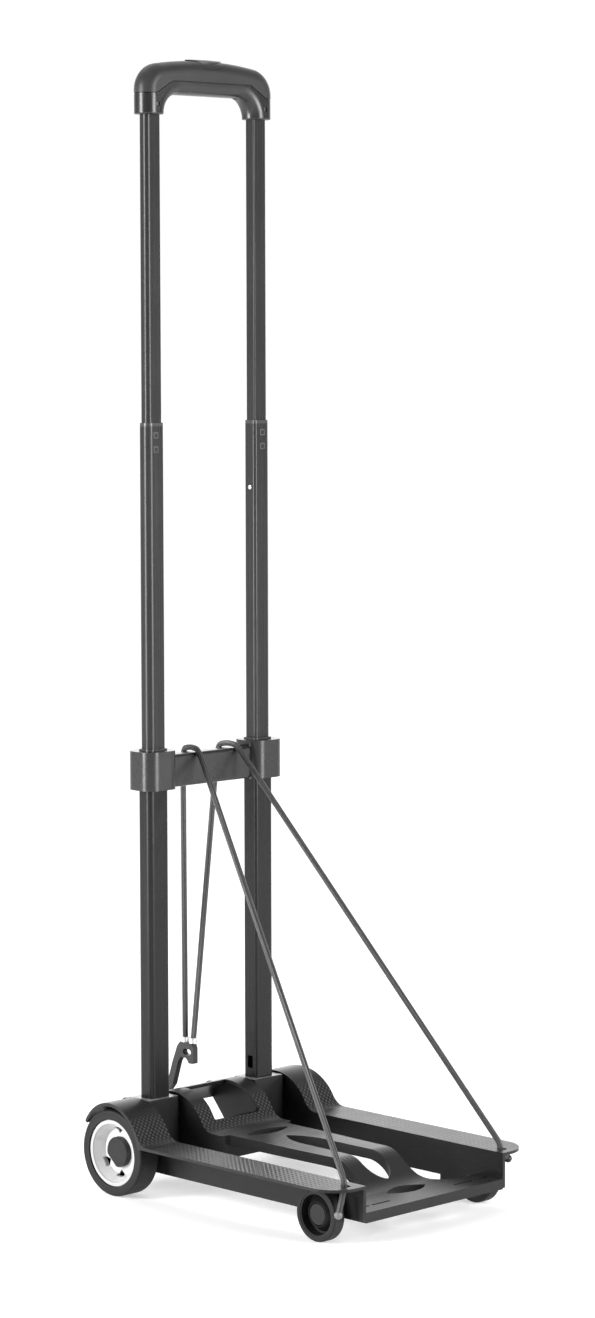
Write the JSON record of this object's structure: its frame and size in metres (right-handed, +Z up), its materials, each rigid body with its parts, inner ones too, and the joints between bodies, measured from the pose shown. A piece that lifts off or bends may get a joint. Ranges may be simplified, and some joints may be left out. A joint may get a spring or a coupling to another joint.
{
  "type": "folding hand truck",
  "caption": "Folding hand truck with a telescopic tube handle, a fold-up open deck with side rails, wheels front and back, and an elastic tie-down cord.",
  "frame": {"origin": "on the floor under the middle of the bounding box", "axes": "+X along the axle to the right seen from the front, +Y to the back, +Z up along the tubes"},
  "size_m": [0.245, 0.3391, 1.002],
  "materials": {
    "tyre": "matt black rubber",
    "rim": "light grey moulded plastic",
    "wheel_plastic": "dark grey moulded plastic",
    "cap_plastic": "dark grey moulded plastic",
    "steel": "plain steel",
    "ferrule_metal": "crimped bright metal",
    "cord": "braided cover over elastic",
    "tube_paint": "semi-gloss black",
    "handle_plastic": "satin dark grey",
    "bracket_plastic": "satin dark grey",
    "deck_plastic": "satin black, textured treads",
    "inner_plastic": "black moulded plastic"
  },
  "bodies": {
    "frame": {"lower_tube_left": "tube_paint", "lower_tube_right": "tube_paint", "tube_socket_left": "bracket_plastic", "tube_socket_right": "bracket_plastic", "socket_rivets": "steel", "axle": "steel", "axle_clips": "steel", "tie_rod": "steel", "bracket": "bracket_plastic", "bracket_cover": "bracket_plastic", "bracket_screws": "steel", "lower_bush_left": "inner_plastic", "lower_bush_right": "inner_plastic", "rear_cord_left": "cord", "rear_cord_right": "cord", "front_cord_left": "cord", "front_cord_right": "cord", "hook": "inner_plastic", "hook_ferrules": "ferrule_metal"},
    "deck": {"rail_left": "deck_plastic", "rail_right": "deck_plastic", "centre_deck": "deck_plastic", "front_axle_left": "steel", "front_axle_right": "steel", "cord_stop_left": "cord", "cord_stop_right": "cord"},
    "rear_wheel_left": {"rear_tyre_left": "tyre", "rear_rim_left": "rim", "hub_cap_left": "cap_plastic"},
    "rear_wheel_right": {"rear_tyre_right": "tyre", "rear_rim_right": "rim", "hub_cap_right": "cap_plastic"},
    "front_wheel_left": {"front_tyre_left": "tyre", "front_hub_left": "wheel_plastic"},
    "front_wheel_right": {"front_tyre_right": "tyre", "front_hub_right": "wheel_plastic"},
    "mid_stage": {"mid_tube_left": "tube_paint", "mid_tube_right": "tube_paint", "mid_bush_left": "inner_plastic", "mid_bush_right": "inner_plastic", "mid_plug_left": "inner_plastic", "mid_plug_right": "inner_plastic", "mid_latches": "steel"},
    "handle": {"upper_tube_left": "tube_paint", "upper_tube_right": "tube_paint", "upper_plug_left": "inner_plastic", "upper_plug_right": "inner_plastic", "upper_latches": "steel", "handle_top": "handle_plastic", "handle_bottom": "handle_plastic", "handle_screws": "steel", "tube_pins": "steel", "return_leaf": "steel"},
    "button": {"release_button": "handle_plastic", "release_yoke": "inner_plastic", "push_rod_left": "steel", "push_rod_right": "steel"}
  },
  "joints": [
    {"name": "deck_fold", "type": "hinge", "parent": "frame", "child": "deck", "pos_m": [0, 0.115, 0.0385], "axis": [-1, 0, 0], "range_deg": [0, 90], "deforming": ["front_cord_left", "front_cord_right"]},
    {"name": "rear_left_spin", "type": "hinge", "parent": "frame", "child": "rear_wheel_left", "pos_m": [0, 0.115, 0.0385], "axis": [1, 0, 0], "continuous": true},
    {"name": "rear_right_spin", "type": "hinge", "parent": "frame", "child": "rear_wheel_right", "pos_m": [0, 0.115, 0.0385], "axis": [1, 0, 0], "continuous": true},
    {"name": "front_left_spin", "type": "hinge", "parent": "deck", "child": "front_wheel_left", "pos_m": [0, -0.1274, 0.0233], "axis": [1, 0, 0], "continuous": true},
    {"name": "front_right_spin", "type": "hinge", "parent": "deck", "child": "front_wheel_right", "pos_m": [0, -0.1274, 0.0233], "axis": [1, 0, 0], "continuous": true},
    {"name": "mid_slide", "type": "slide", "parent": "frame", "child": "mid_stage", "axis": [0, 0, -1], "range_m": [0, 0.274], "deforming": ["mid_latches"]},
    {"name": "upper_slide", "type": "slide", "parent": "mid_stage", "child": "handle", "axis": [0, 0, -1], "range_m": [0, 0.233], "deforming": ["upper_latches"]},
    {"name": "button_press", "type": "slide", "parent": "handle", "child": "button", "axis": [0, 0, -1], "range_m": [0, 0.004], "stiffness_N_per_m": 1500, "deforming": ["return_leaf"]}
  ]
}
